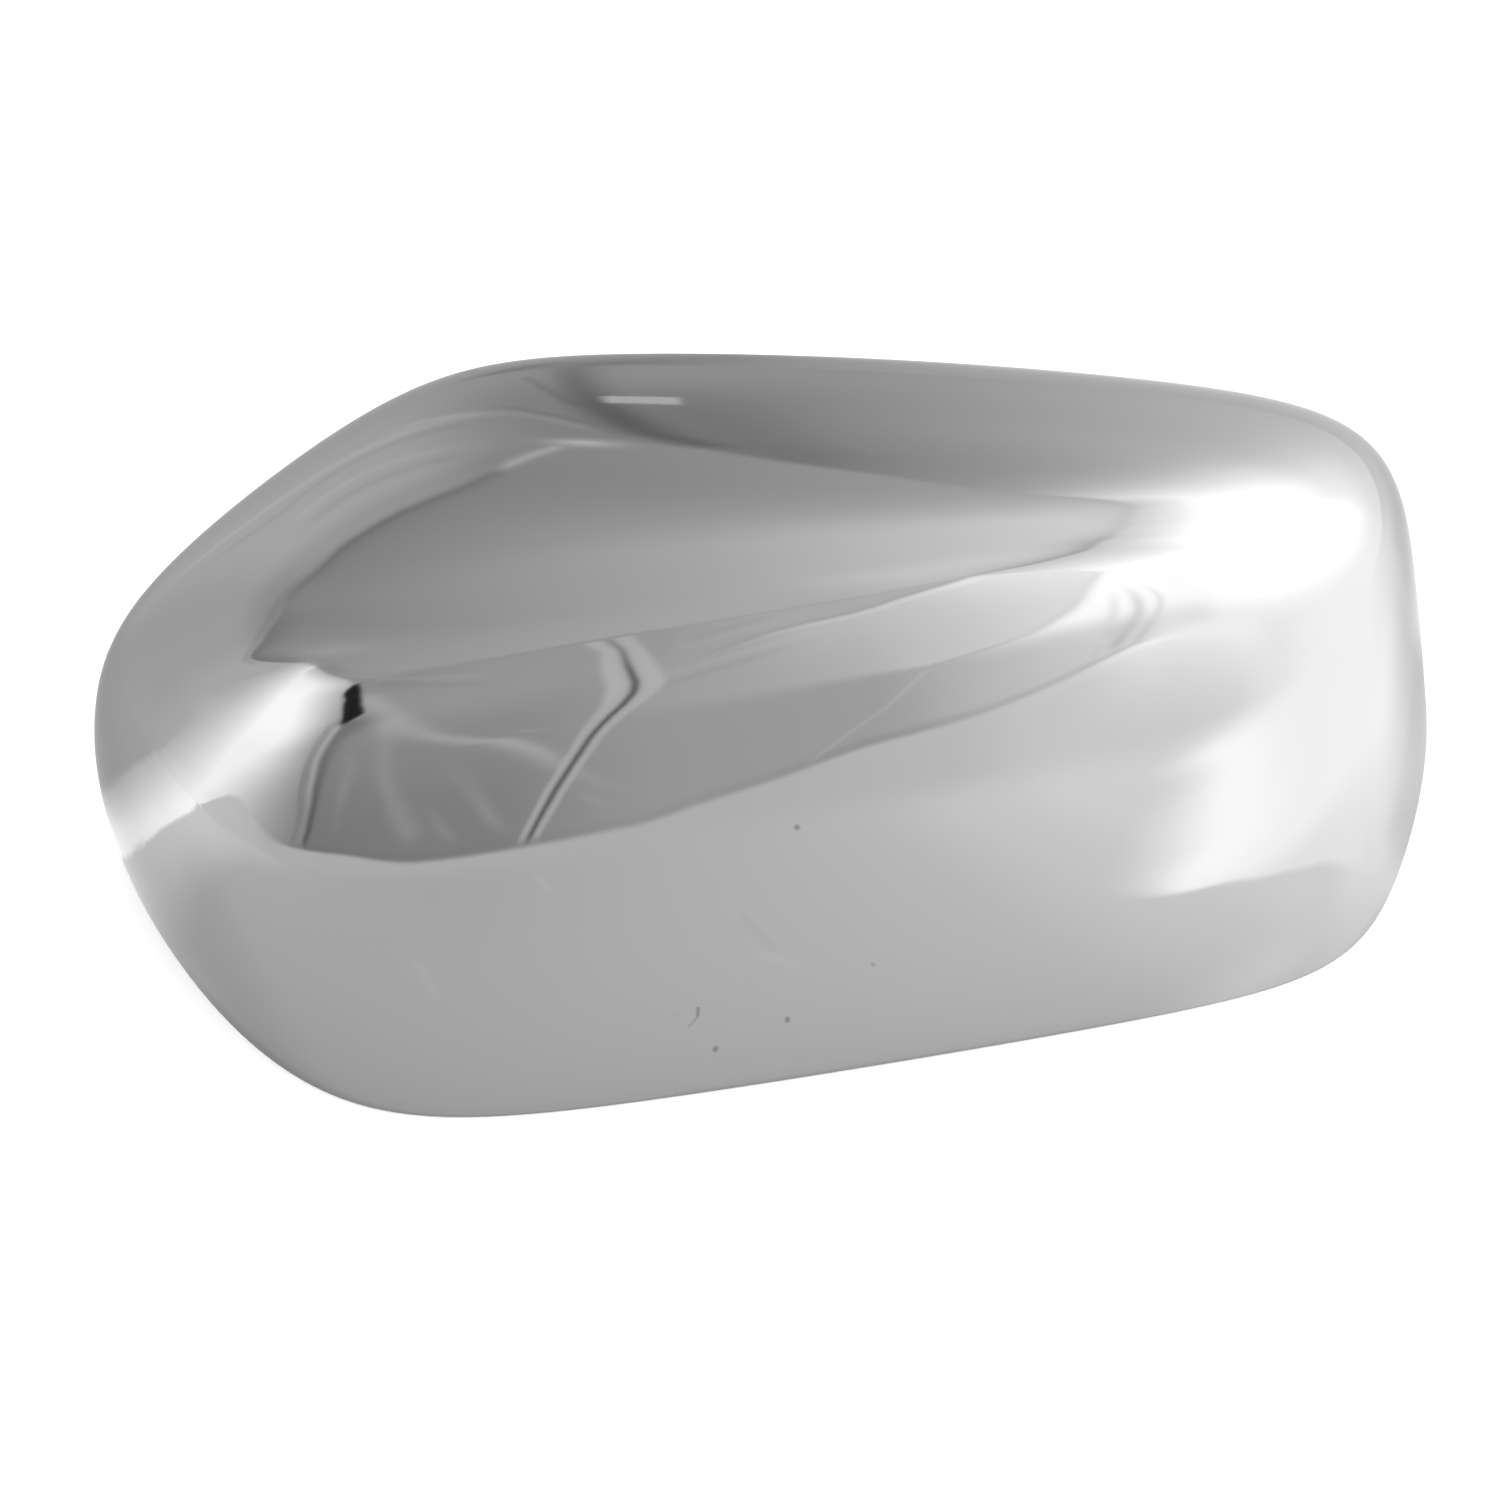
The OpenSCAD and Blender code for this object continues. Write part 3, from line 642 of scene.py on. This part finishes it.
def floor_tone(x, y):
    """how bright the floor looks in the plating; x and y in mm"""
    th = np.degrees(np.arctan2(x, -y))
    q = np.hypot(x, y)
    # the walls' light on the floor all round, dim in the far corner
    t = curve(th, (-180, 142), (-165, 155), (-140, 163), (-105, 155), (-80, 158), (-60, 165), (60, 240), (75, 233),
              (90, 221), (105, 206), (120, 196), (135, 184), (150, 171), (165, 152), (174, 138), (180, 142))
    t = t - 22 * soft(300 - q, 0, 180) * soft(th, 60, 85) * (1 - soft(th, 100, 130))
    t = blend_to(t, 126, line(abs(th) - 177, 4) * soft(q, 150, 320))
    # in front: painted light, brighter towards both ends
    front = curve(x * (1 - 0.3 * soft(-y, 380, 580)), (-440, 194), (-300, 185), (-200, 168), (-110, 165), (0, 176), (50, 184), (75, 194), (95, 199), (115, 206), (200, 210))
    t = blend_to(t, front, soft(th, -62, -52) * (1 - soft(th, 50, 70)) * soft(-y, 20, 45))
    # the lamp's light fans out to the left
    mid = curve(-x, (110, 3), (118, -1), (124, -4), (130, -6), (138, -10), (148, -16), (163, -26), (177, -37), (210, -68), (260, -122), (285, -151), (357, -229), (520, -385))
    near = curve(-x, (110, 1.6), (150, 2.5), (200, 5), (400, 16))
    glow = curve(-x, (110, 214), (138, 229), (200, 238), (300, 243), (400, 246))
    start_th = curve(q, (112, -97), (150, -91.5), (172, -88.8), (188, -87), (213, -84.8), (280, -80.3), (309, -79.3), (334, -78.1), (383, -76.9), (434, -75.9), (510, -75), (585, -73.2))
    ramp = 178 + curve(q, (112, 11), (150, 9), (188, 7), (213, 6), (309, 5), (383, 4.5), (434, 4.2), (585, 3.7)) * (th - start_th)
    ramp = glow - np.log1p(np.exp(np.clip((glow - ramp) / 5, -20, 20))) * 5 + 3 * soft(ramp, 178, 230)
    edge = curve(-x, (110, 186), (125, 189), (150, 190), (200, 193), (260, 196), (420, 197))
    fades = curve(-x, (110, 26), (150, 42), (190, 85), (250, 200), (400, 260))
    d = y - mid - curve(-x, (110, 0.5), (130, 0.9), (150, 1.4), (177, 2.2), (210, 3.5), (260, 6), (357, 10))
    fade = soft(-x, 108, 116)
    t = blend_to(t, edge, fade * soft(-d, 0, near) * (1 - soft(-d, near, fades)))
    t = blend_to(t, ramp, fade * soft(th, start_th - 1.6, start_th + 0.4) * (1 - soft(-d, 0, near)))
    # the bright panel's light comes from the right
    start = curve(-y, (-10, 106), (36, 110), (50, 113), (75, 120), (105, 125.5), (135, 120), (155, 110), (165, 104), (171, 92), (178, 87), (230, 104),
                  (300, 130), (350, 150), (400, 160), (450, 186), (500, 216), (560, 262), (620, 300))
    wide = curve(-y, (0, 2), (50, 2.5), (105, 3), (150, 4), (170, 6), (190, 14), (230, 22), (400, 22), (500, 40))
    bright = curve(th, (20, 240), (45, 241), (62, 243), (75, 234), (90, 222))
    bright = bright - 15 * (1 - soft(x, start + 4, start + 55)) * soft(-y, 20, 45) * (1 - soft(-y, 130, 180))
    bright = bright + 8 * line(x - start - 1.4 * wide, 30) * soft(-y, 150, 200) * (1 - soft(-y, 380, 460))
    bright = bright - 22 * soft(300 - q, 0, 180) * soft(th, 72, 88)
    t = t + 9 * line(x - 88, 15) * line(y + 66, 16)
    t = blend_to(t, bright, soft(x, start - wide, start + wide) * soft(-y, -15, 10) * (1 - soft(th, 86, 94)))
    # the cover's painted shadow: darker close to the cover
    own = np.stack([x + CENTRE[0], y + CENTRE[1], 0 * x], -1)
    gap = np.hypot(own[:, 0], own[:, 1]) * (1 - 1 / np.maximum(level(own, 0.0)[0], 0.9))
    gap = np.maximum(gap, 0)
    ahead = soft(th, -82, -64) * (1 - soft(th, 34, 46))
    t = t - ahead * (11 * np.exp(-gap / 45) + 8 * np.exp(-gap / 4)) - 9 * line(gap - 3, 1.3) * soft(th, -30, -20) * (1 - soft(th, 30, 40))
    t = t - 13 * np.exp(-(gap / 20) ** 2) * soft(th, 44, 52) * (1 - soft(th, 62, 68))
    t = t - 40 * np.exp(-gap / curve(th, (64, 6), (74, 8), (82, 13), (95, 14))) * soft(th, 63, 69) * (1 - soft(th, 86, 92)) + 8 * soft(gap, 6, 16) * (1 - soft(gap, 60, 160)) * soft(th, 62, 72) * (1 - soft(th, 88, 94))
    t = t - 6 * np.exp(-gap / 30) * soft(-th, 76, 88) * (1 - soft(-th, 105, 120))
    t = t - 12 * (1 - soft(gap, 0.5, 2.6)) * soft(th, -85, -70) * (1 - soft(th, 58, 66))
    # far out it meets the tent, later where the lamp's light crosses
    lit = soft(th, -80, -76) * (1 - soft(th, -54, -48))
    return blend_to(t, tent_tone(th, 0.2 - 0.9 * soft(th, -34, -27) * (1 - soft(th, 8, 13))), soft(q, 440 + 95 * lit, 585 + 13 * lit))
# --- end of surroundings


def tone_to_light(t, mirror=0.565):
    """the light that a surface must give for the plating to look as bright as tone t"""
    c = np.clip(t, 0, 400) / 255.0
    return np.where(c <= 0.04045, c / 12.92, ((c + 0.055) / 1.055) ** 2.4) / mirror


def glow_material(name):
    mat, nt = tree(name)
    out = node(nt, "ShaderNodeOutputMaterial")
    em = node(nt, "ShaderNodeEmission")
    at = node(nt, "ShaderNodeAttribute", attribute_name="light")
    nt.links.new(at.outputs["Color"], em.inputs["Color"])
    nt.links.new(em.outputs[0], out.inputs[0])
    mat.cycles.emission_sampling = "NONE"
    return mat


def glow_object(name, co, polys, light):
    me = mesh_from(name, co, polys)
    col = me.color_attributes.new("light", "FLOAT_COLOR", "POINT")
    rgba = np.ones((len(co), 4), np.float32)
    rgba[:, :3] = light[:, None]
    col.data.foreach_set("color", rgba.ravel())
    me.materials.append(glow_material(name))
    o = link(bpy.data.objects.new(name, me))
    o.visible_camera = False
    o.visible_diffuse = False
    o.visible_shadow = False
    o.visible_transmission = False
    return o


def grid_faces(na, nb):
    i = np.arange(na * nb).reshape(na, nb)
    return np.stack([i[:-1, :-1], i[1:, :-1], i[1:, 1:], i[:-1, 1:]], -1).reshape(-1, 4)


def steps(*runs):
    """positions along an axis: (start, stop, spacing) runs, and the last stop"""
    return np.concatenate([np.arange(a, b - c * 0.01, c) for a, b, c in runs] + [[runs[-1][1]]])


# the tent's painted light and shade, as glowing sheets seen only in reflections, in sectors, each as fine as its cloth
# needs; neighbours overlap a little
RADIUS = 0.6
PLAIN = ((-6, 0, 0.5), (0, 12, 0.4), (12, 30, 1), (30, 46, 0.4), (46, 72, 0.3), (72, 90, 1))
FINE = ((-6, 0, 0.3), (0, 12, 0.16), (12, 46, 0.35), (46, 72, 0.3), (72, 90, 1))
SECTORS = [
    (((-180, -170, 0.3), (-170, -69.9, 1.2)), PLAIN),
    (((-70, -29.9, 0.4),), FINE),
    (((-30, -21.9, 0.12),), ((-6, 0, 0.3), (0, 12, 0.16), (12, 46, 0.2), (46, 60, 0.3), (60, 90, 1))),
    (((-22, -9.9, 0.2),), FINE),
    (((-10, -2.4, 0.08),), FINE),
    (((-2.5, 24.1, 0.18),), FINE),
    (((24, 40.1, 0.4),), FINE),
    (((40, 160, 1.5), (160, 170, 0.5), (170, 180, 0.2)), PLAIN),
]
for k, (az_runs, el_runs) in enumerate(SECTORS):
    azs, els = steps(*az_runs), steps(*el_runs)
    A, E = np.meshgrid(azs, els, indexing="ij")
    a, e = np.radians(A.ravel()), np.radians(E.ravel())
    dome = np.stack([np.sin(a) * np.cos(e), -np.cos(a) * np.cos(e), np.sin(e)], -1) * RADIUS
    glow_object("tent_%d" % (k + 1), dome, grid_faces(len(azs), len(els)), tone_to_light(tent_tone(A.ravel(), E.ravel())))

# the floor as the plating sees it, glowing with painted light and the cover's painted shadow and seen only in
# reflections: a wide sheet, and finer ones laid on it
PATCHES = [
    (((-590, -320, 10), (-320, 320, 3), (320, 590, 10)), ((-590, -400, 6), (-400, 100, 3), (100, 590, 10)), -0.20),
    (((-215, -105, 1),), ((-75, 15, 1),), -0.19),
    (((80, 132, 1),), ((-190, 10, 1),), -0.19),
]
for k, (x_runs, y_runs, z) in enumerate(PATCHES):
    xs, ys = steps(*x_runs), steps(*y_runs)
    X, Y = np.meshgrid(xs, ys, indexing="ij")
    X, Y = X.ravel(), Y.ravel()
    glow_object("painted_floor_light_%d" % (k + 1), np.stack([X, Y, 0 * X + z], -1) / 1000.0, grid_faces(len(xs), len(ys)),
                tone_to_light(floor_tone(X, Y)))
# and a ring along the rim, fine enough for the cover's painted shadow close to it
away = np.array([-1, -0.3, 0.3, 0.8, 1.3, 1.8, 2.3, 2.8, 3.3, 3.8, 4.4, 5, 6, 7.5, 9.5, 12, 15, 19, 24])
ring_at = (foot_out - CENTRE)[:, None, :2] - inward[:, None, :2] * away[None, :, None]
ring_at = np.concatenate([ring_at, ring_at[:1]])
RX, RY = ring_at[..., 0].ravel(), ring_at[..., 1].ravel()
glow_object("painted_floor_light_ring", np.stack([RX, RY, 0 * RX - 0.18], -1) / 1000.0, grid_faces(*ring_at.shape[:2]),
            tone_to_light(floor_tone(RX, RY)))

# the floor as the camera sees it
floor_mat, nt = tree("pale_floor")
out = node(nt, "ShaderNodeOutputMaterial")
bsdf = node(nt, "ShaderNodeBsdfPrincipled")
bsdf.inputs["Roughness"].default_value = 0.9
bsdf.inputs["Base Color"].default_value = (0.93, 0.93, 0.93, 1)
bsdf.inputs["Specular IOR Level"].default_value = 0.1
nt.links.new(bsdf.outputs[0], out.inputs[0])
S = 6.0
floor = link(bpy.data.objects.new("floor", mesh_from(
    "floor", np.array([(-S, -S, 0), (S, -S, 0), (S, S, 0), (-S, S, 0)]), np.array([[0, 1, 2, 3]]))))
floor.data.materials.append(floor_mat)
floor.location.z = -0.0001
floor.visible_glossy = False

world = bpy.data.worlds.new("studio")
bpy.context.scene.world = world
world.use_nodes = True
world.node_tree.nodes["Background"].inputs["Color"].default_value = (1, 1, 1, 1)
world.node_tree.nodes["Background"].inputs["Strength"].default_value = 1.6

# ---------------------------------------------------------------------------
# The camera, at the photograph's viewing angle
cam_az, cam_el, dist = math.radians(10.7), math.radians(60.6), 0.51711
back = Vector((-math.sin(cam_az) * math.cos(cam_el), -math.cos(cam_az) * math.cos(cam_el), math.sin(cam_el)))
right = Vector((math.cos(cam_az), -math.sin(cam_az), 0.0))
up = back.cross(right)
target = right * 0.003171 + up * 0.000052 - Vector(CENTRE / 1000.0)
cam = bpy.data.cameras.new("camera")
cam.sensor_fit = "HORIZONTAL"
cam.sensor_width = 36.0
cam.lens = 5.53 * dist * 1000 / 1500 * 36.0
cam.clip_start = 0.01
cam_obj = link(bpy.data.objects.new("camera", cam))
cam_obj.matrix_world = Matrix.Translation(target + back * dist) @ Matrix((right, up, back)).transposed().to_4x4()
bpy.context.scene.camera = cam_obj
bpy.context.scene.view_settings.view_transform = "Standard"
